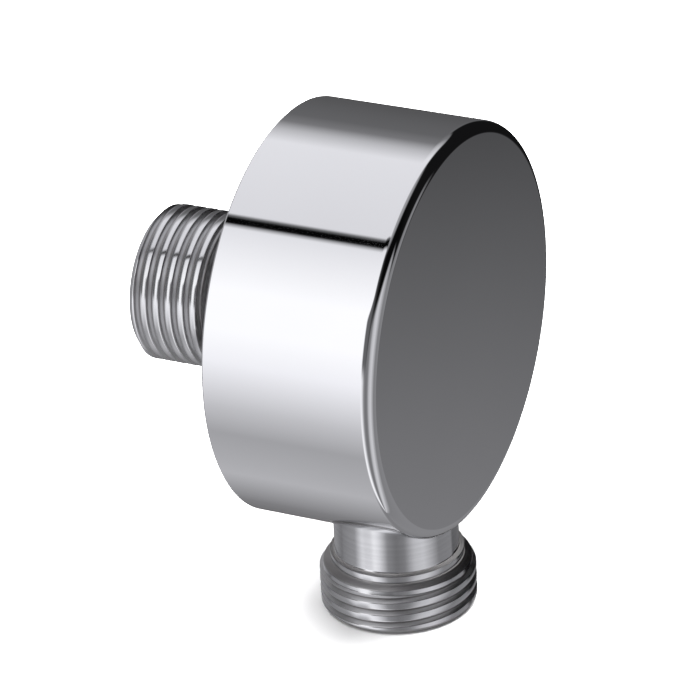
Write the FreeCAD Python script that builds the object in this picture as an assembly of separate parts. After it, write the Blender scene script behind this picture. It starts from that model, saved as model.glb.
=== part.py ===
import FreeCAD, Part
import math
import os

from FreeCAD import Vector

# Wall outlet elbow, in millimetres.
# The origin is on the wall plane, at the middle of the drum's back rim. +Y points into the wall, along the
# wall spigot, and the flat front faces -Y. The hose outlet points down, along -Z.

# Drum
DRUM_DIAMETER = 55.0
DRUM_DEPTH = 24.0
FRONT_EDGE_RADIUS = 1.5
BACK_EDGE_BREAK = 0.3

# Hollow in the back of the drum, as forged: it leaves the side wall, the front wall and the two bosses
SIDE_WALL = 3.0
FRONT_WALL = 4.0
HOLLOW_CORNER_RADIUS = 1.2
FORGING_DRAFT_DEG = 1.5
INLET_BOSS_DIAMETER = 23.0
INLET_BOSS_SETBACK = 1.0
OUTLET_BOSS_WALL = 2.7

# Half-inch pipe thread, the same on the wall spigot and on the hose collar. The solids have its outside
# diameter, and its turns are finer than they show.
PIPE_THREAD_DIAMETER = 20.955

# Wall spigot
SPIGOT_LENGTH = 20.0
SPIGOT_NECK_DIAMETER = 18.2
SPIGOT_NECK_LENGTH = 9.2
SPIGOT_ROOT_RADIUS = 0.8
THREAD_START_CHAMFER = 0.6
THREAD_END_CHAMFER = 0.9

# Waterway
INLET_BORE = 13.0
OUTLET_BORE = 11.5
BORE_MOUTH_CHAMFER = 0.5
DRILL_POINT_DEG = 118.0
INLET_DRILL_OVERRUN = 3.0
OUTLET_DRILL_TOP = 2.5

# Hose outlet
OUTLET_INSET = 12.8
OUTLET_REACH = 14.3
NIPPLE_NECK_DIAMETER = 16.66
COLLAR_LENGTH = 8.9
COLLAR_FLARE_DIAMETER = 18.6
COLLAR_FLARE_LENGTH = 2.0
COLLAR_LEAD_LENGTH = 1.3
NIPPLE_INNER_CHAMFER = 0.6
HEXAGON_ACROSS_FLATS = 12.0
HEXAGON_DEPTH = 7.0

# Port that takes the nipple
PORT_DEPTH = 9.5
PORT_CLEARANCE = 0.03
PORT_MOUTH_RELIEF = 0.35
PORT_MOUTH_RELIEF_DEPTH = 2.2

# Seal at the bottom of the port
SEAL_THICKNESS = 1.5
SEAL_BORE_CLEARANCE = 0.4
SEAL_SIDE_CLEARANCE = 0.15

# Places worked out from the sizes
DRUM_RADIUS = DRUM_DIAMETER / 2
THREAD_RADIUS = PIPE_THREAD_DIAMETER / 2
SPIGOT_NECK_RADIUS = SPIGOT_NECK_DIAMETER / 2
INLET_BOSS_RADIUS = INLET_BOSS_DIAMETER / 2
NECK_RADIUS = NIPPLE_NECK_DIAMETER / 2
PORT_RADIUS = NECK_RADIUS + PORT_CLEARANCE
OUTLET_BOSS_RADIUS = PORT_RADIUS + OUTLET_BOSS_WALL
PORT_SEAT_Z = -DRUM_RADIUS + PORT_DEPTH
NIPPLE_INNER_Z = PORT_SEAT_Z - SEAL_THICKNESS
NIPPLE_OUTER_Z = -DRUM_RADIUS - OUTLET_REACH
COLLAR_TOP_Z = NIPPLE_OUTER_Z + COLLAR_LENGTH
FLARE_END_Z = COLLAR_TOP_Z - COLLAR_FLARE_LENGTH

Y_AXIS = Vector(0, 1, 0)
Z_AXIS = Vector(0, 0, 1)
FULL_TURN = 360


class Profile:
    """A closed outline of straight runs and arcs, drawn point by point."""

    def __init__(self, place, start):
        self.place = place
        self.start = start
        self.here = start
        self.edges = []

    def line(self, *point):
        self.edges.append(Part.LineSegment(self.place(*self.here), self.place(*point)).toShape())
        self.here = point
        return self

    def arc(self, centre, point):
        """A quarter round from here to the point, about the centre."""
        radius = math.dist(centre, point)
        middle = [(a + b) / 2 - c for a, b, c in zip(self.here, point, centre)]
        reach = radius / math.hypot(*middle)
        through = [c + m * reach for c, m in zip(centre, middle)]
        curve = Part.Arc(self.place(*self.here), self.place(*through), self.place(*point))
        self.edges.append(curve.toShape())
        self.here = point
        return self

    def turned(self, axis_point, axis):
        self.line(*self.start)
        face = Part.Face(Part.Wire(self.edges))
        return face.revolve(axis_point, axis, FULL_TURN)


def on_drum_axis(radius, y):
    return Vector(radius, y, 0)


def on_outlet_axis(radius, z):
    return Vector(radius, -OUTLET_INSET, z)


def turned_on_drum_axis(profile):
    return profile.turned(Vector(0, 0, 0), Y_AXIS)


def turned_on_outlet_axis(profile):
    return profile.turned(Vector(0, -OUTLET_INSET, 0), Z_AXIS)


def drill_point(radius):
    """How far a drill's point runs on past its full diameter."""
    return radius / math.tan(math.radians(DRILL_POINT_DEG / 2))


def draft_over(depth):
    """How much a forged wall closes in over a depth."""
    return depth * math.tan(math.radians(FORGING_DRAFT_DEG))


def drum_and_spigot():
    """The outside as turned: the drum, and the spigot with its plain neck and its threaded end."""
    front = -DRUM_DEPTH
    edge = FRONT_EDGE_RADIUS
    rim = DRUM_RADIUS - BACK_EDGE_BREAK
    outline = Profile(on_drum_axis, (0, front))
    outline.line(DRUM_RADIUS - edge, front)
    outline.arc((DRUM_RADIUS - edge, front + edge), (DRUM_RADIUS, front + edge))
    outline.line(DRUM_RADIUS, -BACK_EDGE_BREAK)
    outline.line(rim, 0)
    outline.line(SPIGOT_NECK_RADIUS, 0)
    outline.line(SPIGOT_NECK_RADIUS, SPIGOT_NECK_LENGTH)
    outline.line(THREAD_RADIUS - THREAD_START_CHAMFER, SPIGOT_NECK_LENGTH)
    outline.line(THREAD_RADIUS, SPIGOT_NECK_LENGTH + THREAD_START_CHAMFER)
    outline.line(THREAD_RADIUS, SPIGOT_LENGTH - THREAD_END_CHAMFER)
    outline.line(THREAD_RADIUS - THREAD_END_CHAMFER, SPIGOT_LENGTH)
    outline.line(0, SPIGOT_LENGTH)
    return turned_on_drum_axis(outline)


def back_hollow():
    """The ring-shaped hollow in the back, less the boss that carries the outlet port.

    From the spigot's root it runs across the end of the inlet boss, down the boss, and over to the side wall.
    """
    floor = -DRUM_DEPTH + FRONT_WALL
    corner = HOLLOW_CORNER_RADIUS
    root = SPIGOT_ROOT_RADIUS
    boss_back = -INLET_BOSS_SETBACK
    outer_mouth = DRUM_RADIUS - SIDE_WALL
    outer_floor = outer_mouth - draft_over(-floor)
    inner_floor = INLET_BOSS_RADIUS + draft_over(boss_back - floor)
    outline = Profile(on_drum_axis, (SPIGOT_NECK_RADIUS, 0))
    outline.line(SPIGOT_NECK_RADIUS, boss_back + root)
    outline.arc((SPIGOT_NECK_RADIUS + root, boss_back + root), (SPIGOT_NECK_RADIUS + root, boss_back))
    outline.line(INLET_BOSS_RADIUS, boss_back)
    outline.line(inner_floor, floor + corner)
    outline.arc((inner_floor + corner, floor + corner), (inner_floor + corner, floor))
    outline.line(outer_floor - corner, floor)
    outline.arc((outer_floor - corner, floor + corner), (outer_floor, floor + corner))
    outline.line(outer_mouth, 0)
    ring = turned_on_drum_axis(outline)
    boss_foot = Vector(0, -OUTLET_INSET, -DRUM_RADIUS)
    boss = Part.makeCylinder(OUTLET_BOSS_RADIUS, DRUM_RADIUS, boss_foot, Z_AXIS)
    return ring.cut(boss)


def inlet_waterway():
    """The hole drilled from the spigot's end, past the outlet's axis, with its chamfered mouth."""
    radius = INLET_BORE / 2
    deep = -OUTLET_INSET - INLET_DRILL_OVERRUN
    mouth = SPIGOT_LENGTH - BORE_MOUTH_CHAMFER
    outline = Profile(on_drum_axis, (0, deep - drill_point(radius)))
    outline.line(radius, deep)
    outline.line(radius, mouth)
    outline.line(radius + BORE_MOUTH_CHAMFER, SPIGOT_LENGTH)
    outline.line(0, SPIGOT_LENGTH)
    return turned_on_drum_axis(outline)


def outlet_port():
    """The stepped hole from below: relief at the mouth, port, seat, and the drilling up to the inlet."""
    below = -DRUM_RADIUS - PORT_MOUTH_RELIEF_DEPTH
    relief_top = -DRUM_RADIUS + PORT_MOUTH_RELIEF_DEPTH
    drilling = OUTLET_BORE / 2
    outline = Profile(on_outlet_axis, (0, below))
    outline.line(PORT_RADIUS + PORT_MOUTH_RELIEF, below)
    outline.line(PORT_RADIUS + PORT_MOUTH_RELIEF, relief_top)
    outline.line(PORT_RADIUS, relief_top + PORT_MOUTH_RELIEF)
    outline.line(PORT_RADIUS, PORT_SEAT_Z)
    outline.line(drilling, PORT_SEAT_Z)
    outline.line(drilling, -OUTLET_DRILL_TOP)
    outline.line(0, -OUTLET_DRILL_TOP + drill_point(drilling))
    return turned_on_outlet_axis(outline)


def elbow_body():
    return drum_and_spigot().cut(back_hollow()).cut(inlet_waterway()).cut(outlet_port())


def hexagon_socket():
    """The hexagon broached in the outer end of the nipple's bore, which a key drives it home by."""
    corner = HEXAGON_ACROSS_FLATS / 2 / math.cos(math.pi / 6)
    corners = []
    for step in range(7):
        angle = step * math.pi / 3
        corners.append(Vector(corner * math.cos(angle), -OUTLET_INSET + corner * math.sin(angle), NIPPLE_OUTER_Z))
    return Part.Face(Part.makePolygon(corners)).extrude(Z_AXIS * HEXAGON_DEPTH)


def hose_nipple():
    """The turned nipple: shank in the port, plain neck, and the collar that carries the hose thread.

    The neck flares out to the thread's root, and a wider cone, which the thread starts on, leads from there to
    the full diameter.
    """
    bore = OUTLET_BORE / 2
    mouth = HEXAGON_ACROSS_FLATS / 2 / math.cos(math.pi / 6)
    outline = Profile(on_outlet_axis, (bore, NIPPLE_INNER_Z))
    outline.line(NECK_RADIUS - NIPPLE_INNER_CHAMFER, NIPPLE_INNER_Z)
    outline.line(NECK_RADIUS, NIPPLE_INNER_Z - NIPPLE_INNER_CHAMFER)
    outline.line(NECK_RADIUS, COLLAR_TOP_Z)
    outline.line(COLLAR_FLARE_DIAMETER / 2, FLARE_END_Z)
    outline.line(THREAD_RADIUS, FLARE_END_Z - COLLAR_LEAD_LENGTH)
    outline.line(THREAD_RADIUS, NIPPLE_OUTER_Z + THREAD_END_CHAMFER)
    outline.line(THREAD_RADIUS - THREAD_END_CHAMFER, NIPPLE_OUTER_Z)
    outline.line(mouth, NIPPLE_OUTER_Z)
    outline.line(bore, NIPPLE_OUTER_Z + mouth - bore)
    return turned_on_outlet_axis(outline).cut(hexagon_socket())


def port_seal():
    """The flat ring on the port's seat, which the nipple's inner end presses home."""
    inner = OUTLET_BORE / 2 + SEAL_BORE_CLEARANCE
    outer = PORT_RADIUS - SEAL_SIDE_CLEARANCE
    outline = Profile(on_outlet_axis, (inner, NIPPLE_INNER_Z))
    outline.line(outer, NIPPLE_INNER_Z)
    outline.line(outer, PORT_SEAT_Z)
    outline.line(inner, PORT_SEAT_Z)
    return turned_on_outlet_axis(outline)


PARTS = {
    "elbow_body": elbow_body,
    "hose_nipple": hose_nipple,
    "port_seal": port_seal,
}

os.makedirs("parts", exist_ok=True)
for name, make in PARTS.items():
    solid = make()
    solid.exportStep(f"parts/{name}.step")
    print(name, round(solid.Volume, 1), "mm3", solid.isValid(), len(solid.Solids))
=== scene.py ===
import math

import bmesh
import bpy
from bpy.props import FloatProperty, FloatVectorProperty, PointerProperty
from bpy.types import Operator, Panel, PropertyGroup
from mathutils import Matrix, Vector


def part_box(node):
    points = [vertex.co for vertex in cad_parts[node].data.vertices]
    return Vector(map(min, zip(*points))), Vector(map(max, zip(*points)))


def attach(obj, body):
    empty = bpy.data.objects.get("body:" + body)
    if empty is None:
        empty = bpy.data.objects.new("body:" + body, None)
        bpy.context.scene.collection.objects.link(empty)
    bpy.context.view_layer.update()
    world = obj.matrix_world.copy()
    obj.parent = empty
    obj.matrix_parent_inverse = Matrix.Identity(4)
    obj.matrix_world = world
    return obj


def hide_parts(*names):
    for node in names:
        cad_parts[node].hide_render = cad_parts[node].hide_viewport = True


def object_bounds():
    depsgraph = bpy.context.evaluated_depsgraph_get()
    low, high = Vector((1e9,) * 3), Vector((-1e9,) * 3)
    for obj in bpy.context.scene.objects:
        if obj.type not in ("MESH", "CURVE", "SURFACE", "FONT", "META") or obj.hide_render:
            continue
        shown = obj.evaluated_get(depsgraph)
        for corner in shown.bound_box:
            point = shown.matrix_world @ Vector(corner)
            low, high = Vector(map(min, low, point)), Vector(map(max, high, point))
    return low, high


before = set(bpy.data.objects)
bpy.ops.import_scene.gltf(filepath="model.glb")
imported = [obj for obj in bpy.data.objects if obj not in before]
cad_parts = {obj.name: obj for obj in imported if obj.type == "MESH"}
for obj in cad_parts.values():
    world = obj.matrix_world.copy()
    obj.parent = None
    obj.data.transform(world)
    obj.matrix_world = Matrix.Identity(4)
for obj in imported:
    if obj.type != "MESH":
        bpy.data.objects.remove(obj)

bl_info = {
    "name": "Wall outlet elbow",
    "version": (1, 0, 0),
    "blender": (4, 5, 0),
    "location": "3D View > Sidebar > Elbow",
    "description": "A round wall elbow for a shower hose: drum with wall spigot, nipple, seal and studio",
    "category": "Add Mesh",
}

# Metres. The origin is on the wall plane, +Y runs into the wall, the flat front faces -Y, and the hose outlet
# points down.
MM = 0.001
CAD_LOW, CAD_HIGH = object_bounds()
BODY_LOW, BODY_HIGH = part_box("elbow_body")
NIPPLE_LOW, NIPPLE_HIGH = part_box("hose_nipple")

# How finely round shapes are turned
DRUM_STEPS = 256
THREAD_STEPS = 128
BORE_STEPS = 96
EDGE_STEPS = 12
FLARE_STEPS = 6
CORNER_STEPS = 5
ROUND_STEPS = 3
BREAK_STEPS = 2

# A thread's flank from square, a drill's point from its axis, and half of what a hexagon's side spans
FLANK_ANGLE = math.radians(27.5)
DRILL_ANGLE = math.radians(59)
HEXAGON_ANGLE = math.radians(30)

# Which way hose_crest is measured, about the outlet's axis: to the front left
HOSE_CREST_SIDE = math.radians(-152.6)

# Rings of points this far outside the front's rounding keep its shading off the flats
HOLDING_GAP = 0.04 * MM

SMOOTH_BELOW = math.radians(32)
JOIN_WITHIN = 1e-6

# A face is at a place when within NEAR of it, and level when its normal has less than LEVEL along the axis
NEAR = 0.02 * MM
LEVEL = 0.4


# ---------------------------------------------------------------- sizes and colours


def length(name, millimetres, description):
    return FloatProperty(
        name=name, description=description, default=millimetres * MM, min=0.0, precision=5, unit="LENGTH",
        subtype="DISTANCE",
    )


def share(name, value, description):
    return FloatProperty(
        name=name, description=description, default=value, min=0.0, max=1.0, subtype="FACTOR",
    )


def colour(name, value, description):
    return FloatVectorProperty(
        name=name, description=description, default=value, size=3, min=0.0, max=1.0, subtype="COLOR",
    )


class DrumSizes(PropertyGroup):
    radius: length("Radius", BODY_HIGH.x / MM, "Half the drum's diameter")
    depth: length("Depth", -BODY_LOW.y / MM, "From the wall to the flat front")
    front_edge: length("Front edge", 1.5, "Rounding between the front and the side")
    rim_break: length("Rim break", 0.3, "Small bevel round the back rim")
    side_wall: length("Side wall", 3.0, "Metal left round the hollow, at the back")
    front_wall: length("Front wall", 4.0, "Metal left behind the flat front")
    hollow_corner: length("Hollow corner", 1.2, "Rounding at the bottom of the hollow")
    inlet_boss: length("Inlet boss", 11.5, "Radius of the boss round the waterway")
    boss_setback: length("Boss setback", 1.0, "How far the inlet boss stops short of the wall")
    boss_break: length("Boss break", 0.2, "Rounding round the inlet boss's end")
    outlet_boss: length("Outlet boss", 11.06, "Radius of the boss round the port")
    draft: FloatProperty(
        name="Draft", description="Slope of the forged walls", default=math.radians(1.5), unit="ROTATION",
        subtype="ANGLE",
    )


class SpigotSizes(PropertyGroup):
    reach: length("Reach", BODY_HIGH.y / MM, "How far the spigot goes into the wall")
    neck_radius: length("Neck radius", 9.1, "Plain neck between the drum and the thread")
    neck_length: length("Neck length", 9.2, "From the wall plane to the thread")
    root_radius: length("Root radius", 0.8, "Rounding where the neck meets the boss")
    first_chamfer: length("First chamfer", 0.6, "Where the thread starts beside the neck")
    end_chamfer: length("End chamfer", 0.9, "At the end of the thread")
    bore: length("Bore", 6.5, "Radius of the inlet's waterway")
    bore_chamfer: length("Bore chamfer", 0.5, "At the waterway's mouth")
    bore_depth: length("Bore depth", 15.8, "How far the full bore runs behind the wall plane")


class ThreadSizes(PropertyGroup):
    crest: length("Crest radius", 10.47, "Half the diameter over the thread")
    pitch: length("Pitch", 1.814, "From crest to crest")
    depth: length("Depth", 0.72, "From crest to root")
    crest_flat: length("Crest flat", 0.98, "Width of the flat on each crest")
    crest_break: length("Crest break", 0.14, "Rounding at each side of the flat")
    root_reach: length("Root rounding", 0.22, "How far the rounding at the root runs up each flank")
    plated: length("Plated height", 0.6, "How far below the crests the bright plate still reaches the flats")
    dull: length("Dull radius", 9.05, "Inside this radius a sloping ring is dull")
    clear: length("Clearance", 0.08, "How far the turned blank stands outside the crests")
    wall_crest: length("Wall crest", 13.8, "Where a crest of the wall thread lies on the left")
    hose_crest: length("Hose crest", 35.45, "How far down a crest of the hose thread lies, at the front left")


class OutletSizes(PropertyGroup):
    inset: length(
        "Inset", -(NIPPLE_LOW.y + NIPPLE_HIGH.y) / 2 / MM, "From the wall plane to the outlet's axis",
    )
    neck_radius: length("Neck radius", 8.33, "Plain neck and shank of the nipple")
    collar: length("Collar", 8.9, "From the neck's base to the outlet's end")
    flare: length("Flare", 0.56, "Hollow rounding from the neck out to the plain ring")
    land: length("Land", 8.97, "Radius of the plain ring between the neck and the thread")
    land_top: length("Land top", 0.8, "From the neck's base to the plain ring")
    land_length: length("Land length", 0.85, "Height of the plain ring")
    groove: length("Groove", 8.9, "Radius of the run-out groove under the plain ring")
    lead_radius: length("Lead radius", 9.3, "Where the thread's starting cone begins")
    lead_top: length("Lead top", 2.0, "From the neck's base to the starting cone")
    first_turn: length("First turn", 9.95, "Radius that the first turn is cut back to")
    first_top: length("First turn's top", 2.35, "From the neck's base to the first turn")
    first_length: length("First turn's length", 0.65, "Height of the ring on the first turn")
    lead: length("Lead", 3.3, "From the neck's base to the full diameter")
    bore: length("Bore", 5.75, "Radius of the nipple's waterway")
    key: length("Key", 6.0, "Half the width across the hexagon's flats")
    key_depth: length("Key depth", 7.0, "How deep the hexagon is broached")
    inner_chamfer: length("Inner chamfer", 0.6, "On the shank's end")
    port_radius: length("Port radius", 8.36, "The hole in the drum that takes the shank")
    port_depth: length("Port depth", 9.5, "From the drum's lowest point to the seat")
    relief: length("Relief", 0.35, "Extra radius at the port's mouth, the dark seam round the neck")
    relief_depth: length("Relief depth", 2.2, "How deep the relief runs")
    drilling_top: length("Drilling top", 2.5, "How far below the inlet's axis the drilling stops")


class SealSizes(PropertyGroup):
    inner: length("Inner radius", 6.15, "Hole in the seal")
    outer: length("Outer radius", 8.21, "Outside of the seal")
    thickness: length("Thickness", 1.5, "Height of the seal")
    rounding: length("Rounding", 0.2, "On the moulded edges")


class Finishes(PropertyGroup):
    chrome: colour("Chrome", (0.82, 0.83, 0.85), "Bright chrome plate")
    turned_chrome: colour("Turned chrome", (0.78, 0.79, 0.81), "Chrome plate over turned brass")
    thread_chrome: colour("Thread chrome", (0.74, 0.74, 0.75), "Plate on the thread's flanks")
    # Painted shade: a darker grey laid into the roots of the threads, where the grooves fall into shade
    painted_root_shade: colour("Thread root", (0.4, 0.39, 0.39), "Grey painted_shade at the bottom of the thread")
    forged: colour("Forged metal", (0.62, 0.62, 0.62), "Dull plate in the hollow")
    brass: colour("Brass", (0.66, 0.48, 0.24), "Bare metal in the waterways")
    rubber: colour("Rubber", (0.03, 0.03, 0.03), "Black moulded rubber")
    mirror_roughness: share("Mirror roughness", 0.035, "Roughness of the polished drum")
    turned_roughness: share("Turned roughness", 0.13, "Roughness of the turned neck")
    thread_roughness: share("Thread roughness", 0.42, "Roughness of the thread's flanks and roots")


class StudioSizes(PropertyGroup):
    focal: FloatProperty(name="Lens", description="Focal length in millimetres", default=249.68, min=1.0)
    distance: length("Distance", 642.685, "From the camera to its target")
    floor: length("Floor", 6000.0, "Side of the square floor")
    floor_colour: colour("Floor colour", (0.94, 0.94, 0.94), "Plain pale floor")


GROUPS = {
    "elbow_drum": DrumSizes,
    "elbow_spigot": SpigotSizes,
    "elbow_thread": ThreadSizes,
    "elbow_outlet": OutletSizes,
    "elbow_seal": SealSizes,
    "elbow_finishes": Finishes,
    "elbow_studio": StudioSizes,
}


# ---------------------------------------------------------------- working on a mesh


def clear_selection():
    """Leaves edit mode, with nothing selected."""
    if bpy.context.object is not None and bpy.context.object.mode != "OBJECT":
        bpy.ops.object.mode_set(mode="OBJECT")
    bpy.ops.object.select_all(action="DESELECT")


def take_up(piece):
    clear_selection()
    piece.select_set(True)
    bpy.context.view_layer.objects.active = piece


def edit(piece):
    take_up(piece)
    bpy.ops.object.mode_set(mode="EDIT")
    bpy.ops.mesh.select_all(action="SELECT")


def close_up(piece):
    """Merges what touches and turns every face outwards."""
    edit(piece)
    bpy.ops.mesh.remove_doubles(threshold=JOIN_WITHIN)
    bpy.ops.mesh.normals_make_consistent(inside=False)
    clear_selection()


def select_points(piece, places):
    mesh = bmesh.from_edit_mesh(piece.data)
    for vert in mesh.verts:
        vert.select = any((vert.co - place).length < JOIN_WITHIN for place in places)
    mesh.select_flush_mode()
    bmesh.update_edit_mesh(piece.data)


def combine(piece, tool, operation):
    """Joins the tool to the piece, cuts it away, or keeps what both share. The tool is used up."""
    step = piece.modifiers.new("combine", "BOOLEAN")
    step.operation = operation
    step.solver = "EXACT"
    step.object = tool
    take_up(piece)
    bpy.ops.object.modifier_apply(modifier=step.name)
    bpy.data.objects.remove(tool)


class Lathe:
    """Turns pieces about one axis. A place on the outline is (radius, distance along the axis)."""

    def __init__(self, letter, middle=(0.0, 0.0, 0.0)):
        self.letter = letter
        self.axis = Vector((0.0, 1.0, 0.0)) if letter == "Y" else Vector((0.0, 0.0, 1.0))
        self.middle = Vector(middle)

    def place(self, radius, along):
        return Vector((radius, 0.0, 0.0)) + self.axis * along

    def draw(self, name, outline, rounds=()):
        """Draws the outline point by point, then rounds the corners named in it: (corner, reach, steps)."""
        clear_selection()
        bpy.ops.mesh.primitive_plane_add(size=MM, location=self.middle, enter_editmode=True)
        piece = bpy.context.object
        piece.name = name
        points = [self.place(*point) for point in outline]
        bpy.ops.mesh.merge(type="CENTER")
        bpy.ops.transform.translate(value=points[0])
        for here, there in zip(points, points[1:]):
            bpy.ops.mesh.extrude_vertices_move(TRANSFORM_OT_translate={"value": there - here})
        for corner, reach, steps in rounds:
            bpy.ops.mesh.select_all(action="DESELECT")
            select_points(piece, [self.place(*corner)])
            bpy.ops.mesh.bevel(
                offset=reach, offset_type="OFFSET", segments=steps, affect="VERTICES", clamp_overlap=False,
            )
        return piece

    def finish(self, piece):
        """Puts the piece's place in its mesh."""
        take_up(piece)
        bpy.ops.object.transform_apply(location=True, rotation=True, scale=True)
        close_up(piece)
        return piece

    def turn(self, name, outline, steps, rounds=()):
        piece = self.draw(name, outline, rounds)
        bpy.ops.mesh.select_all(action="SELECT")
        bpy.ops.mesh.spin(steps=steps, angle=math.tau, center=self.middle, axis=self.axis)
        return self.finish(piece)

    def threaded_rod(self, name, thread, low, high, crest_at, angle):
        """A rod with a right-hand thread, whose crest is at crest_at in the direction angle."""
        pitch = thread.pitch
        root_radius = thread.crest - thread.depth
        flank = thread.depth * math.tan(FLANK_ANGLE)
        root_flat = pitch - thread.crest_flat - 2 * flank
        root_reach = min(thread.root_reach, root_flat * 0.45)
        if root_flat < 2 * JOIN_WITHIN:
            raise ValueError("The thread's crest flat and depth leave no room for its root")
        start = crest_at - thread.crest_flat / 2 - flank - root_flat / 2 - pitch * angle / math.tau
        spare_turns = 1.2
        start -= pitch * math.ceil((start - low) / pitch + spare_turns)
        crest_start = start + root_flat / 2 + flank
        crest_end = crest_start + thread.crest_flat
        outline = [
            (root_radius, start),
            (root_radius, start + root_flat / 2),
            (thread.crest, crest_start),
            (thread.crest, crest_end),
            (root_radius, crest_end + flank),
            (root_radius, start + pitch),
        ]
        rounds = [
            (outline[1], root_reach, ROUND_STEPS),
            (outline[2], thread.crest_break, BREAK_STEPS),
            (outline[3], thread.crest_break, BREAK_STEPS),
            (outline[4], root_reach, ROUND_STEPS),
        ]
        piece = self.draw(name, outline, rounds)
        clear_selection()
        turns = piece.modifiers.new("turns", "SCREW")
        turns.axis = self.letter
        turns.angle = math.tau
        turns.screw_offset = pitch
        turns.iterations = math.ceil((high - start) / pitch) + 1
        turns.steps = THREAD_STEPS
        turns.render_steps = THREAD_STEPS
        turns.use_merge_vertices = False
        take_up(piece)
        bpy.ops.object.modifier_apply(modifier=turns.name)
        self.finish(piece)
        for height, upper in ((high, True), (low, False)):
            edit(piece)
            bpy.ops.mesh.bisect(
                plane_co=self.middle + self.axis * height, plane_no=self.axis, clear_outer=upper,
                clear_inner=not upper,
            )
        bpy.ops.mesh.select_all(action="SELECT")
        bpy.ops.mesh.fill_holes(sides=0)
        close_up(piece)
        return piece


def dress(piece, materials, choose):
    """Gives each face the material that choose(centre, normal) names."""
    names = list(materials)
    for name in names:
        piece.data.materials.append(materials[name])
    edit(piece)
    mesh = bmesh.from_edit_mesh(piece.data)
    chosen = {face.index: choose(face.calc_center_median(), face.normal) for face in mesh.faces}
    for slot, name in enumerate(names):
        bpy.ops.mesh.select_all(action="DESELECT")
        mesh = bmesh.from_edit_mesh(piece.data)
        for face in mesh.faces:
            face.select_set(chosen[face.index] == name)
        bmesh.update_edit_mesh(piece.data)
        piece.active_material_index = slot
        bpy.ops.object.material_slot_assign()
    clear_selection()


def hand_over(piece, node):
    """Smooths the piece and lets it stand for its CAD node."""
    take_up(piece)
    bpy.ops.object.shade_smooth_by_angle(angle=SMOOTH_BELOW)
    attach(piece, "root")
    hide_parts(node)
    clear_selection()


# ---------------------------------------------------------------- shader parts


class Nodes:
    """A node tree, with short ways to add a node and to join two."""

    def __init__(self, tree):
        self.tree = tree

    def add(self, kind, **settings):
        node = self.tree.nodes.new(kind)
        for key, value in settings.items():
            setattr(node, key, value)
        return node

    def join(self, output, socket):
        self.tree.links.new(output, socket)

    def feed(self, socket, value):
        """Joins another node's output to the socket, or sets a plain value there."""
        if isinstance(value, bpy.types.NodeSocket):
            self.join(value, socket)
        else:
            socket.default_value = value

    def math(self, operation, first, second=None):
        node = self.add("ShaderNodeMath", operation=operation)
        self.feed(node.inputs[0], first)
        if second is not None:
            self.feed(node.inputs[1], second)
        return node.outputs[0]

    def between(self, value, low, high, to_low=0.0, to_high=1.0):
        """A soft step: to_low up to low, to_high past high."""
        node = self.add("ShaderNodeMapRange", interpolation_type="SMOOTHSTEP")
        given = {"Value": value, "From Min": low, "From Max": high, "To Min": to_low, "To Max": to_high}
        for label, part in given.items():
            self.feed(node.inputs[label], part)
        return node.outputs["Result"]

    def mix(self, factor, first, second):
        """Two colours in one: the first where the factor is 0, the second where it is 1."""
        node = self.add("ShaderNodeMix", data_type="RGBA")
        first_colour, second_colour, mixed = node.inputs[6], node.inputs[7], node.outputs[2]
        self.feed(node.inputs["Factor"], factor)
        for socket, value in ((first_colour, first), (second_colour, second)):
            self.feed(socket, value if isinstance(value, bpy.types.NodeSocket) else (*value, 1.0))
        return mixed


def new_group(name, inputs, outputs):
    group = bpy.data.node_groups.new(name, "ShaderNodeTree")
    for label, kind, default in inputs:
        socket = group.interface.new_socket(label, in_out="INPUT", socket_type=kind)
        if default is not None:
            socket.default_value = default
    for label, kind in outputs:
        group.interface.new_socket(label, in_out="OUTPUT", socket_type=kind)
    nodes = Nodes(group)
    return nodes, nodes.add("NodeGroupInput").outputs, nodes.add("NodeGroupOutput").inputs


FLOAT = "NodeSocketFloat"
VECTOR = "NodeSocketVector"


def wipe_marks():
    """Faint smears from wiping: a roughness between two values."""
    nodes, given, out = new_group(
        "wipe_marks",
        [("Vector", VECTOR, None), ("Least", FLOAT, 0.03), ("Most", FLOAT, 0.06), ("Scale", FLOAT, 60.0)],
        [("Roughness", FLOAT)],
    )
    stretch = nodes.add("ShaderNodeMapping")
    stretch.inputs["Rotation"].default_value = (0.3, 0.5, 0.8)
    stretch.inputs["Scale"].default_value = (1.0, 3.0, 0.7)
    nodes.join(given["Vector"], stretch.inputs["Vector"])
    smear = nodes.add("ShaderNodeTexNoise")
    smear.inputs["Detail"].default_value = 4.0
    smear.inputs["Roughness"].default_value = 0.6
    nodes.join(stretch.outputs["Vector"], smear.inputs["Vector"])
    nodes.join(given["Scale"], smear.inputs["Scale"])
    level = nodes.between(smear.outputs["Fac"], 0.35, 0.75, given["Least"], given["Most"])
    nodes.join(level, out["Roughness"])
    return nodes.tree


def turning_marks():
    """Fine rings left by a lathe tool, from the distance along the axis: a height, and a broader shade."""
    nodes, given, out = new_group(
        "turning_marks",
        [("Along", FLOAT, 0.0), ("Spacing", FLOAT, 0.12 * MM)],
        [("Height", FLOAT), ("Shade", FLOAT)],
    )
    count = nodes.math("DIVIDE", given["Along"], given["Spacing"])
    fine = nodes.add("ShaderNodeTexNoise", noise_dimensions="1D")
    fine.inputs["Scale"].default_value = 1.0
    fine.inputs["Detail"].default_value = 3.0
    nodes.join(count, fine.inputs["W"])
    broad = nodes.add("ShaderNodeTexNoise", noise_dimensions="1D")
    broad.inputs["Scale"].default_value = 0.13
    broad.inputs["Detail"].default_value = 2.0
    nodes.join(count, broad.inputs["W"])
    nodes.join(fine.outputs["Fac"], out["Height"])
    nodes.join(nodes.between(broad.outputs["Fac"], 0.3, 0.7), out["Shade"])
    return nodes.tree


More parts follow.
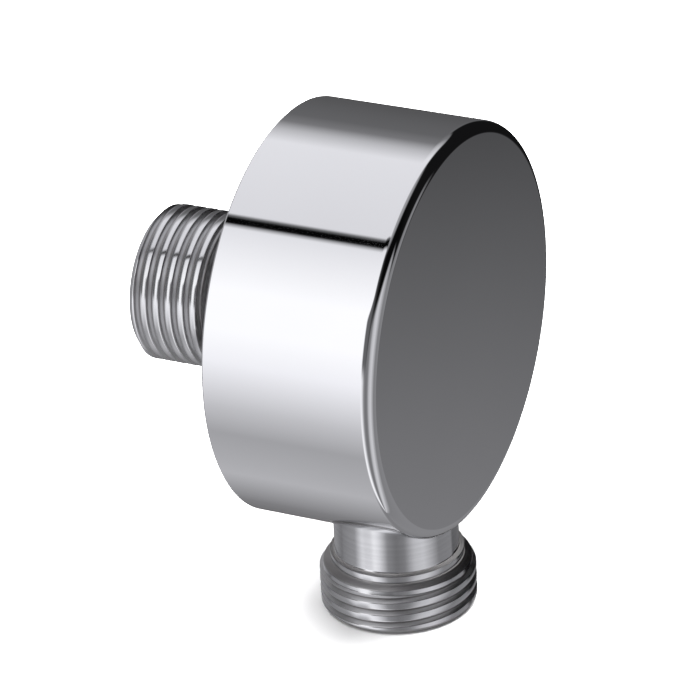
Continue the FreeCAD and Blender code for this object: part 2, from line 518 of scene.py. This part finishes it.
def from_axis():
    """Radius and distance along an axis through the middle: along Y, or along Z where Upright is 1."""
    nodes, given, out = new_group(
        "from_axis",
        [("Vector", VECTOR, None), ("Upright", FLOAT, 0.0)],
        [("Radius", FLOAT), ("Along", FLOAT)],
    )
    parts = nodes.add("ShaderNodeSeparateXYZ")
    nodes.join(given["Vector"], parts.inputs["Vector"])
    x, y, z = parts.outputs
    flat = nodes.math("SUBTRACT", 1.0, given["Upright"])
    along = nodes.math("ADD", nodes.math("MULTIPLY", y, flat), nodes.math("MULTIPLY", z, given["Upright"]))
    across = nodes.math("ADD", nodes.math("MULTIPLY", z, flat), nodes.math("MULTIPLY", y, given["Upright"]))
    square = nodes.math("ADD", nodes.math("MULTIPLY", x, x), nodes.math("MULTIPLY", across, across))
    nodes.join(nodes.math("SQRT", square), out["Radius"])
    nodes.join(along, out["Along"])
    return nodes.tree


class Surface(Nodes):
    """A new material, and the effects that the finishes share."""

    effects = {}

    def __init__(self, name, metallic=1.0):
        self.material = bpy.data.materials.new(name)
        self.material.use_nodes = True
        super().__init__(self.material.node_tree)
        self.shader = next(node for node in self.tree.nodes if node.type == "BSDF_PRINCIPLED")
        self.shader.inputs["Metallic"].default_value = metallic
        self.coordinates = self.add("ShaderNodeTexCoord").outputs["Object"]

    def effect(self, make, **values):
        if make.__name__ not in self.effects:
            self.effects[make.__name__] = make()
        node = self.add("ShaderNodeGroup", node_tree=self.effects[make.__name__])
        for label, value in values.items():
            self.feed(node.inputs[label], value)
        return node.outputs

    def measured(self, upright, middle):
        """Radius and distance along the piece's axis."""
        shift = self.add("ShaderNodeMapping")
        shift.inputs["Location"].default_value = [-part for part in middle]
        self.join(self.coordinates, shift.inputs["Vector"])
        return self.effect(from_axis, Vector=shift.outputs["Vector"], Upright=float(upright))

    def bump(self, height, distance, strength=1.0):
        node = self.add("ShaderNodeBump")
        node.inputs["Distance"].default_value = distance
        node.inputs["Strength"].default_value = strength
        self.join(height, node.inputs["Height"])
        self.join(node.outputs["Normal"], self.shader.inputs["Normal"])

    def set(self, **sockets):
        """Gives the shader its inputs, by name, and hands the material back."""
        for label, value in sockets.items():
            self.feed(self.shader.inputs[label.replace("_", " ")], value)
        return self.material

    def noise(self, scale, detail=4.0):
        node = self.add("ShaderNodeTexNoise")
        node.inputs["Scale"].default_value = scale
        node.inputs["Detail"].default_value = detail
        self.join(self.coordinates, node.inputs["Vector"])
        return node.outputs["Fac"]


def darker(rgb, by):
    return tuple(part * by for part in rgb)


def polished_chrome(finishes):
    metal = Surface("polished_chrome")
    least, most = finishes.mirror_roughness * 0.7, finishes.mirror_roughness * 1.5
    smears = metal.effect(wipe_marks, Vector=metal.coordinates, Least=least, Most=most, Scale=45.0)
    cloud = metal.between(metal.noise(scale=30.0), 0.3, 0.7)
    return metal.set(
        Base_Color=metal.mix(cloud, darker(finishes.chrome, by=0.975), finishes.chrome),
        Roughness=smears["Roughness"],
    )


def turned_chrome(finishes, name, upright, middle):
    metal = Surface(name)
    place = metal.measured(upright, middle)
    rings = metal.effect(turning_marks, Along=place["Along"], Spacing=0.1 * MM)
    least, most = finishes.turned_roughness * 0.8, finishes.turned_roughness * 1.3
    smears = metal.effect(wipe_marks, Vector=metal.coordinates, Least=least, Most=most, Scale=90.0)
    metal.bump(rings["Height"], distance=0.0006 * MM)
    return metal.set(
        Base_Color=metal.mix(rings["Shade"], darker(finishes.turned_chrome, by=0.93), finishes.turned_chrome),
        Roughness=smears["Roughness"],
    )


def thread_chrome(finishes, name, upright, middle, thread):
    """Chrome plate with painted shade towards the thread's root, and dull inside the dull radius."""
    metal = Surface(name)
    place = metal.measured(upright, middle)
    root = thread.crest - thread.depth
    # Painted shade: over the lowest part of the flanks the colour darkens from the plate's grey to the root
    # shade
    height = metal.between(place["Radius"], root, root + thread.depth * 0.4)
    patch = metal.between(metal.noise(scale=500.0), 0.3, 0.7)
    flank = metal.mix(patch, darker(finishes.thread_chrome, by=0.88), finishes.thread_chrome)
    rough = finishes.thread_roughness
    metal.bump(metal.noise(scale=1800.0, detail=2.0), distance=0.006 * MM, strength=0.4)
    return metal.set(
        Base_Color=metal.mix(height, finishes.painted_root_shade, flank),
        Metallic=metal.between(place["Radius"], thread.dull - 0.1 * MM, thread.dull, 0.45, 1.0),
        Roughness=metal.between(patch, 0.0, 1.0, rough * 0.8, rough),
    )


def forged_metal(finishes):
    metal = Surface("forged_metal")
    patch = metal.between(metal.noise(scale=160.0, detail=6.0), 0.35, 0.7)
    metal.bump(metal.noise(scale=1500.0, detail=5.0), distance=0.05 * MM, strength=0.6)
    return metal.set(
        Base_Color=metal.mix(patch, finishes.forged, darker(finishes.forged, by=0.75)),
        Roughness=metal.between(metal.noise(scale=400.0), 0.3, 0.7, 0.42, 0.6),
    )


def bored_brass(finishes, name, upright, middle):
    metal = Surface(name)
    place = metal.measured(upright, middle)
    rings = metal.effect(turning_marks, Along=place["Along"], Spacing=0.18 * MM)
    metal.bump(rings["Height"], distance=0.004 * MM)
    stain = metal.between(metal.noise(scale=220.0), 0.35, 0.75)
    return metal.set(
        Base_Color=metal.mix(stain, finishes.brass, darker(finishes.brass, by=0.7)),
        Roughness=metal.between(rings["Shade"], 0.0, 1.0, 0.26, 0.38),
    )


def seal_rubber(finishes):
    rubber = Surface("seal_rubber", metallic=0.0)
    grain = rubber.noise(scale=3000.0, detail=3.0)
    bloom = rubber.between(rubber.noise(scale=300.0), 0.3, 0.7)
    greyed = (0.05, 0.05, 0.05)
    rubber.bump(grain, distance=0.02 * MM, strength=0.4)
    return rubber.set(
        Base_Color=rubber.mix(bloom, finishes.rubber, greyed),
        Roughness=rubber.between(grain, 0.2, 0.8, 0.6, 0.75),
    )


# ---------------------------------------------------------------- the pieces


class AddElbowBody(Operator):
    """Adds the drum with its hollow back and bosses, the wall spigot, the waterway and the outlet port"""

    bl_idname = "mesh.wall_elbow_body"
    bl_label = "Elbow Body"

    def execute(self, context):
        scene = context.scene
        drum, spigot = scene.elbow_drum, scene.elbow_spigot
        thread, outlet = scene.elbow_thread, scene.elbow_outlet
        across = Lathe("Y")
        upright = Lathe("Z", (0.0, -outlet.inset, 0.0))
        body = self.turn_drum(across, drum, spigot)
        combine(body, self.outlet_boss(upright, drum), "UNION")
        combine(body, self.turn_thread(across, spigot, thread), "UNION")
        combine(body, self.waterway(across, spigot), "DIFFERENCE")
        combine(body, self.port(upright, drum, outlet), "DIFFERENCE")
        close_up(body)
        self.finish(scene.elbow_finishes, body, drum, spigot, thread, outlet)
        return {"FINISHED"}

    def turn_drum(self, across, drum, spigot):
        front = -drum.depth
        floor = front + drum.front_wall
        mouth = drum.radius - drum.side_wall
        neck_end = spigot.neck_length + spigot.first_chamfer
        front_corner = (drum.radius, front)
        outer_corner = (mouth + floor * math.tan(drum.draft), floor)
        inner_corner = (drum.inlet_boss - (floor + drum.boss_setback) * math.tan(drum.draft), floor)
        boss_corner = (drum.inlet_boss, -drum.boss_setback)
        root = (spigot.neck_radius, -drum.boss_setback)
        outline = [
            (0.0, front),
            (drum.radius - drum.front_edge - HOLDING_GAP, front),
            front_corner,
            (drum.radius, front + drum.front_edge + HOLDING_GAP),
            (drum.radius, -drum.rim_break),
            (drum.radius - drum.rim_break, 0.0),
            (mouth, 0.0),
            outer_corner,
            inner_corner,
            boss_corner,
            root,
            (spigot.neck_radius, neck_end),
            (0.0, neck_end),
        ]
        rounds = [
            (front_corner, drum.front_edge, EDGE_STEPS),
            (outer_corner, drum.hollow_corner, CORNER_STEPS),
            (inner_corner, drum.hollow_corner, CORNER_STEPS),
            (boss_corner, drum.boss_break, BREAK_STEPS),
            (root, spigot.root_radius, CORNER_STEPS),
        ]
        return across.turn("elbow_body_form", outline, DRUM_STEPS, rounds)

    def outlet_boss(self, upright, drum):
        """The boss round the port, from inside the drum's side wall up into the inlet boss."""
        into_side_wall = 0.1 * MM
        below_inlet_axis = 2.0 * MM
        foot = -drum.radius + drum.side_wall - into_side_wall
        top = -below_inlet_axis
        outline = [(0.0, foot), (drum.outlet_boss, foot), (drum.outlet_boss, top), (0.0, top)]
        return upright.turn("outlet_boss", outline, THREAD_STEPS)

    def turn_thread(self, across, spigot, thread):
        blank = thread.crest + thread.clear
        start, end = spigot.neck_length, spigot.reach
        first = thread.crest - spigot.first_chamfer
        last = thread.crest - spigot.end_chamfer
        to_the_left = math.pi
        outline = [
            (0.0, start),
            (first, start),
            (blank, start + blank - first),
            (blank, end - blank + last),
            (last, end),
            (0.0, end),
        ]
        turned = across.turn("wall_thread", outline, THREAD_STEPS)
        rod = across.threaded_rod("wall_rod", thread, start - MM, end + MM, thread.wall_crest, to_the_left)
        combine(turned, rod, "INTERSECT")
        return turned

    def waterway(self, across, spigot):
        deep = -spigot.bore_depth
        mouth = spigot.reach - spigot.bore_chamfer
        point = spigot.bore / math.tan(DRILL_ANGLE)
        beyond = spigot.bore_chamfer + MM
        outline = [
            (0.0, deep - point),
            (spigot.bore, deep),
            (spigot.bore, mouth),
            (spigot.bore + beyond, mouth + beyond),
            (0.0, mouth + beyond),
        ]
        return across.turn("waterway", outline, BORE_STEPS)

    def port(self, upright, drum, outlet):
        below = -drum.radius - outlet.relief_depth
        relief_top = -drum.radius + outlet.relief_depth
        seat = -drum.radius + outlet.port_depth
        mouth = outlet.port_radius + outlet.relief
        outline = [
            (0.0, below),
            (mouth, below),
            (mouth, relief_top),
            (outlet.port_radius, relief_top + outlet.relief),
            (outlet.port_radius, seat),
            (outlet.bore, seat),
            (outlet.bore, -outlet.drilling_top),
            (0.0, -outlet.drilling_top + outlet.bore / math.tan(DRILL_ANGLE)),
        ]
        return upright.turn("port", outline, THREAD_STEPS)

    def finish(self, finishes, body, drum, spigot, thread, outlet):
        inlet_middle = (0.0, 0.0, 0.0)
        outlet_middle = (0.0, -outlet.inset, 0.0)
        materials = {
            "polished": polished_chrome(finishes),
            "forged": forged_metal(finishes),
            "neck": turned_chrome(finishes, "spigot_neck_chrome", False, inlet_middle),
            "thread": thread_chrome(finishes, "wall_thread_chrome", False, inlet_middle, thread),
            "bore": bored_brass(finishes, "inlet_bore_brass", False, inlet_middle),
            "port": bored_brass(finishes, "port_brass", True, outlet_middle),
        }
        front = -drum.depth
        hollow = drum.radius - drum.side_wall
        port_mouth = outlet.port_radius + outlet.relief

        def choose(centre, normal):
            radius = math.hypot(centre.x, centre.z)
            from_outlet = math.hypot(centre.x, centre.y + outlet.inset)
            if centre.y > NEAR and radius > spigot.bore + NEAR:
                on_neck = centre.y < spigot.neck_length - NEAR and radius < spigot.neck_radius + NEAR
                on_crest = abs(normal.y) < LEVEL and radius > thread.crest - thread.plated
                return "neck" if on_neck or on_crest or normal.y > 1.0 - LEVEL else "thread"
            if radius < spigot.bore + NEAR and centre.y > front + drum.front_wall:
                return "bore"
            outside = radius > drum.radius - NEAR or centre.y < front + drum.front_edge
            if not outside and from_outlet < port_mouth + NEAR and centre.z < -NEAR:
                return "port"
            if outside or radius > drum.radius - drum.front_edge:
                return "polished"
            if radius > hollow - NEAR and centre.y > -NEAR - drum.rim_break:
                return "polished"
            return "forged"

        dress(body, materials, choose)
        body.name = "drum_and_spigot"
        hand_over(body, "elbow_body")


def key_corner(outlet):
    """From the middle of the key's hexagon to its corners."""
    return outlet.key / math.cos(HEXAGON_ANGLE)


class AddHoseNipple(Operator):
    """Adds the turned nipple: shank, plain neck, threaded collar, waterway and the hexagon for its key"""

    bl_idname = "mesh.wall_elbow_nipple"
    bl_label = "Hose Nipple"

    def execute(self, context):
        scene = context.scene
        outlet, thread, spigot = scene.elbow_outlet, scene.elbow_thread, scene.elbow_spigot
        upright = Lathe("Z", (0.0, -outlet.inset, 0.0))
        low, high = NIPPLE_LOW.z, NIPPLE_HIGH.z
        piece = self.turn_blank(upright, outlet, thread, spigot, low, high)
        crest_at = -thread.hose_crest
        rod = upright.threaded_rod("hose_rod", thread, low - MM, high + MM, crest_at, HOSE_CREST_SIDE)
        combine(piece, rod, "INTERSECT")
        combine(piece, self.waterway(upright, outlet, low, high), "DIFFERENCE")
        combine(piece, self.key_socket(outlet, low), "DIFFERENCE")
        close_up(piece)
        self.finish(scene.elbow_finishes, piece, outlet, thread, low)
        return {"FINISHED"}

    def turn_blank(self, upright, outlet, thread, spigot, low, high):
        blank = thread.crest + thread.clear
        base = low + outlet.collar
        land_top = base - outlet.land_top
        land_end = land_top - outlet.land_length
        lead_top = base - outlet.lead_top
        first_top = base - outlet.first_top
        last = thread.crest - spigot.end_chamfer
        first_rise = 0.1 * MM
        neck_foot = (outlet.neck_radius, land_top)
        land_start = (outlet.land, land_top)
        land_stop = (outlet.land, land_end)
        groove = (outlet.groove, (land_end + lead_top) / 2)
        lead_start = (outlet.lead_radius, lead_top)
        first_start = (outlet.first_turn, first_top)
        first_stop = (outlet.first_turn + first_rise, first_top - outlet.first_length)
        outline = [
            (0.0, high),
            (outlet.neck_radius - outlet.inner_chamfer, high),
            (outlet.neck_radius, high - outlet.inner_chamfer),
            neck_foot,
            land_start,
            land_stop,
            groove,
            lead_start,
            first_start,
            first_stop,
            (blank, base - outlet.lead),
            (blank, low + blank - last),
            (last, low),
            (0.0, low),
        ]
        flare = (neck_foot, outlet.flare, FLARE_STEPS)
        breaks = [
            (land_start, 0.06 * MM, BREAK_STEPS),
            (land_stop, 0.1 * MM, BREAK_STEPS),
            (groove, 0.08 * MM, BREAK_STEPS),
            (lead_start, 0.1 * MM, BREAK_STEPS),
            (first_start, 0.12 * MM, ROUND_STEPS),
            (first_stop, 0.1 * MM, BREAK_STEPS),
        ]
        return upright.turn("hose_nipple_form", outline, THREAD_STEPS, [flare, *breaks])

    def waterway(self, upright, outlet, low, high):
        mouth = key_corner(outlet)
        beyond = mouth + MM
        outline = [
            (0.0, high + MM),
            (outlet.bore, high + MM),
            (outlet.bore, low + mouth - outlet.bore),
            (beyond, low - MM),
            (0.0, low - MM),
        ]
        return upright.turn("nipple_waterway", outline, BORE_STEPS)

    def key_socket(self, outlet, low):
        deep = outlet.key_depth
        clear_selection()
        bpy.ops.mesh.primitive_cylinder_add(
            vertices=6, radius=key_corner(outlet), depth=deep + MM,
            location=(0.0, -outlet.inset, low + (deep - MM) / 2), rotation=(0.0, 0.0, HEXAGON_ANGLE),
        )
        socket = bpy.context.object
        bpy.ops.object.transform_apply(location=True, rotation=True, scale=True)
        return socket

    def finish(self, finishes, piece, outlet, thread, low):
        middle = (0.0, -outlet.inset, 0.0)
        materials = {
            "neck": turned_chrome(finishes, "neck_chrome", True, middle),
            "thread": thread_chrome(finishes, "hose_thread_chrome", True, middle, thread),
            "bore": bored_brass(finishes, "outlet_bore_brass", True, middle),
        }
        mouth = key_corner(outlet)
        key_floor = low + outlet.key_depth

        def choose(centre, normal):
            radius = math.hypot(centre.x, centre.y + outlet.inset)
            inside = radius < mouth + NEAR and centre.z > low + NEAR
            if inside and normal.xy.dot(centre.xy - Vector((0.0, -outlet.inset))) < 0.0:
                return "bore"
            if inside and radius < mouth and key_floor - NEAR < centre.z < key_floor + MM:
                return "bore"
            in_thread = outlet.land + NEAR < radius < thread.crest - thread.plated
            level = abs(normal.z) < LEVEL and not in_thread
            on_end = abs(normal.z) > 1.0 - NEAR
            return "neck" if level or on_end else "thread"

        dress(piece, materials, choose)
        piece.name = "turned_nipple"
        hand_over(piece, "hose_nipple")


class AddPortSeal(Operator):
    """Adds the rubber ring between the nipple's inner end and the port's seat"""

    bl_idname = "mesh.wall_elbow_seal"
    bl_label = "Port Seal"

    def execute(self, context):
        scene = context.scene
        seal, outlet = scene.elbow_seal, scene.elbow_outlet
        upright = Lathe("Z", (0.0, -outlet.inset, 0.0))
        low = NIPPLE_HIGH.z
        high = low + seal.thickness
        corners = [(seal.inner, low), (seal.outer, low), (seal.outer, high), (seal.inner, high)]
        halfway = (seal.inner, (low + high) / 2)
        rounds = [(corner, seal.rounding, ROUND_STEPS) for corner in corners]
        ring = upright.turn("rubber_seal", [halfway, *corners, halfway], BORE_STEPS, rounds)
        ring.data.materials.append(seal_rubber(scene.elbow_finishes))
        hand_over(ring, "port_seal")
        return {"FINISHED"}


# ---------------------------------------------------------------- the studio

# What the studio shows the chrome: greys from 0 to 1, each with the angle where it lies, in degrees. The bars
# run along the drum, on the wall side, by the angle about the drum's axis: 0 to the right, 90 overhead.
BARS = [
    (0, 0.33), (28, 0.38), (37, 0.46),  # dim side
    (45, 0.71), (56, 0.88), (108.5, 0.85),  # overhead panel
    (110, 0.02), (114.5, 0.02),  # gap
    (116, 0.88), (150, 1.0), (172, 1.0), (190, 0.95),  # large side panel
    (217, 0.75), (234, 0.63), (266, 0.69), (282, 0.59),  # its light on the ground
    (298, 0.48), (340, 0.3),  # dim ground
]
# Round the front, by azimuth, 0 ahead of the flat front and 90 to the right: a grey wall, two upright panels
LOW_BAND = [
    (-180, 0.49), (-145, 0.57), (-130, 0.85), (-113, 1.0), (-97, 0.87),  # left panel
    (-81, 0.53), (-65, 0.44), (-50, 0.49), (-33, 0.74), (-16, 0.79), (0, 0.67),  # right panel
    (17, 0.49), (64, 0.515), (96, 0.48), (180, 0.49),
]
# Above it: a black screen in front of a dim wall
HIGH_BAND = [
    (-180, 0.38), (-80, 0.38),  # dim wall
    (-58, 0.14), (-42, 0.03), (5, 0.03), (30, 0.07), (102, 0.07),  # black screen
    (118, 0.6), (150, 0.6), (180, 0.38),
]
CEILING = 0.59
TINT = Vector((1.0, 0.99, 1.02))
CHROME_REFLECTS = 0.82

# Where one of these gives way to the next, as the share of a direction that points up, or towards the wall
SCREEN_FOOT = (-0.54, -0.34)
CEILING_FOOT = (0.82, 0.94)
BARS_FRONT = (0.2, 0.36)
BARS_BACK = (0.48, 0.6)
# The bars come further forward overhead.
OVERHEAD = (0.4, 0.65)
OVERHEAD_REACH = 0.42
# The screen's foot is higher left of what the flat front mirrors, and beside what the front's left edge does.
FACE_AZIMUTH = math.radians(64)
FACE_SIDE = (math.radians(5), math.radians(25))
FACE_LIFT = 0.42
EDGE_AZIMUTH = math.radians(-28)
EDGE_SIDE = (math.radians(30), math.radians(48))
EDGE_LIFT = 0.4

FLOOR_LIGHT_PLACE = (-0.1, -0.1, 1.2)
FLOOR_LIGHT_SIZE = 1.6
FLOOR_LIGHT_POWER = 85.0

# The photograph's view, from the front left and above
VIEW_AZIMUTH = math.radians(-62.621)
VIEW_ELEVATION = math.radians(26.653)
VIEW_ROLL = math.radians(-3.056)
VIEW_TARGET = Vector((4.461, -5.0, -8.136)) * MM
SENSOR_WIDTH = 36.0
VIEW_REACHES = (0.01, 20.0)


def tone(level):
    """A grey from 0 to 1, as it looks on a screen, as linear light."""
    light = level / 12.92 if level <= 0.04045 else ((level + 0.055) / 1.055) ** 2.4
    return tuple(min(part * light, 1.0) for part in TINT)


def ramp(nodes, position, stops):
    """stops: [(share of the way, grey)] in order."""
    node = nodes.add("ShaderNodeValToRGB")
    elements = node.color_ramp.elements
    for place, level in stops[1:-1]:
        elements.new(place).color = (*tone(level), 1.0)
    for element, (place, level) in ((elements[0], stops[0]), (elements[-1], stops[-1])):
        element.position = place
        element.color = (*tone(level), 1.0)
    nodes.join(position, node.inputs["Fac"])
    return node.outputs["Color"]


class AddStudio(Operator):
    """Adds the floor, the soft light and the camera"""

    bl_idname = "scene.wall_elbow_studio"
    bl_label = "Studio"

    def execute(self, context):
        studio = context.scene.elbow_studio
        self.add_floor(studio)
        self.add_surroundings(context.scene)
        self.add_lights()
        self.add_camera(context.scene, studio)
        context.scene.view_settings.view_transform = "Standard"
        return {"FINISHED"}

    def add_floor(self, studio):
        clear_selection()
        bpy.ops.mesh.primitive_plane_add(size=studio.floor, location=(0.0, 0.0, CAD_LOW.z))
        floor = bpy.context.object
        floor.name = "floor"
        bpy.ops.object.transform_apply(location=True, rotation=True, scale=True)
        paper = Surface("pale_floor", metallic=0.0)
        cloud = paper.between(paper.noise(scale=3.0), 0.3, 0.7)
        shades = darker(studio.floor_colour, by=0.985), tuple(studio.floor_colour)
        floor.data.materials.append(paper.set(Base_Color=paper.mix(cloud, *shades), Roughness=0.9))
        floor.visible_glossy = False

    def add_surroundings(self, scene):
        world = bpy.data.worlds.new("studio")
        scene.world = world
        world.use_nodes = True
        nodes = Nodes(world.node_tree)
        background = next(node for node in world.node_tree.nodes if node.type == "BACKGROUND")
        parts = nodes.add("ShaderNodeSeparateXYZ")
        nodes.join(nodes.add("ShaderNodeTexCoord").outputs["Generated"], parts.inputs["Vector"])
        x, y, z = parts.outputs
        front = self.front_of_room(nodes, x, y, z)
        bars = self.bars_along_drum(nodes, x, z)
        overhead = nodes.between(z, *OVERHEAD, 0.0, OVERHEAD_REACH)
        beside = nodes.between(nodes.math("ADD", y, overhead), *BARS_FRONT)
        behind = nodes.between(y, *BARS_BACK)
        shows_bars = nodes.math("MULTIPLY", beside, nodes.math("SUBTRACT", 1.0, behind))
        nodes.join(nodes.mix(shows_bars, front, bars), background.inputs["Color"])
        background.inputs["Strength"].default_value = 1.0 / CHROME_REFLECTS

    def front_of_room(self, nodes, x, y, z):
        """The low band, the high band above it, and the ceiling."""
        azimuth = nodes.math("ARCTAN2", x, nodes.math("MULTIPLY", y, -1.0))
        around = nodes.math("ADD", nodes.math("DIVIDE", azimuth, math.tau), 0.5)
        low, high = (
            ramp(nodes, around, [((angle + 180) / 360, level) for angle, level in band])
            for band in (LOW_BAND, HIGH_BAND)
        )
        left_of_face = nodes.math("SUBTRACT", FACE_AZIMUTH, azimuth)
        off_edge = nodes.math("ABSOLUTE", nodes.math("SUBTRACT", azimuth, EDGE_AZIMUTH))
        face_lift = nodes.between(left_of_face, *FACE_SIDE, 0.0, FACE_LIFT)
        edge_lift = nodes.between(off_edge, *EDGE_SIDE, EDGE_LIFT, 0.0)
        height = nodes.math("SUBTRACT", z, nodes.math("ADD", face_lift, edge_lift))
        wall = nodes.mix(nodes.between(height, *SCREEN_FOOT), low, high)
        return nodes.mix(nodes.between(z, *CEILING_FOOT), wall, tone(CEILING))

    def bars_along_drum(self, nodes, x, z):
        turns = nodes.math("DIVIDE", nodes.math("ARCTAN2", z, x), math.tau)
        about_drum = nodes.math("FRACT", nodes.math("ADD", turns, 1.0))
        stops = [(angle / 360, level) for angle, level in BARS]
        full_turn = (1.0, BARS[0][1])
        return ramp(nodes, about_drum, [*stops, full_turn])

    def add_lights(self):
        clear_selection()
        bpy.ops.object.light_add(type="AREA", location=FLOOR_LIGHT_PLACE)
        light = bpy.context.object
        light.name = "floor_light"
        light.data.shape = "DISK"
        light.data.size = FLOOR_LIGHT_SIZE
        light.data.energy = FLOOR_LIGHT_POWER
        light.visible_glossy = False

    def add_camera(self, scene, studio):
        level = math.cos(VIEW_ELEVATION)
        back = Vector((
            math.sin(VIEW_AZIMUTH) * level, -math.cos(VIEW_AZIMUTH) * level, math.sin(VIEW_ELEVATION),
        ))
        right = Vector((0.0, 0.0, 1.0)).cross(back).normalized()
        up = back.cross(right)
        tilted_right = right * math.cos(VIEW_ROLL) + up * math.sin(VIEW_ROLL)
        tilted_up = up * math.cos(VIEW_ROLL) - right * math.sin(VIEW_ROLL)
        facing = Matrix((tilted_right, tilted_up, back)).transposed()
        place = VIEW_TARGET + back * studio.distance
        clear_selection()
        bpy.ops.object.camera_add(location=place, rotation=facing.to_euler())
        camera = bpy.context.object
        camera.name = "camera"
        camera.data.sensor_width = SENSOR_WIDTH
        camera.data.lens = studio.focal
        camera.data.clip_start, camera.data.clip_end = VIEW_REACHES
        scene.camera = camera


# ---------------------------------------------------------------- the add-on


class ElbowPanel(Panel):
    """Lists the pieces of the elbow and their sizes"""

    bl_idname = "VIEW3D_PT_wall_elbow"
    bl_label = "Wall Outlet Elbow"
    bl_space_type = "VIEW_3D"
    bl_region_type = "UI"
    bl_category = "Elbow"

    def draw(self, context):
        for operator in OPERATORS:
            self.layout.operator(operator.bl_idname)
        for name, group in GROUPS.items():
            box = self.layout.box()
            box.label(text=group.__name__)
            for key in group.__annotations__:
                box.prop(getattr(context.scene, name), key)


OPERATORS = [AddElbowBody, AddHoseNipple, AddPortSeal, AddStudio]
CLASSES = [*GROUPS.values(), *OPERATORS, ElbowPanel]


def register():
    for cls in CLASSES:
        bpy.utils.register_class(cls)
    for name, group in GROUPS.items():
        setattr(bpy.types.Scene, name, PointerProperty(type=group))


def unregister():
    for name in GROUPS:
        delattr(bpy.types.Scene, name)
    for cls in reversed(CLASSES):
        bpy.utils.unregister_class(cls)


def main():
    register()
    bpy.ops.mesh.wall_elbow_body()
    bpy.ops.mesh.wall_elbow_nipple()
    bpy.ops.mesh.wall_elbow_seal()
    bpy.ops.scene.wall_elbow_studio()


if __name__ == "__main__":
    main()
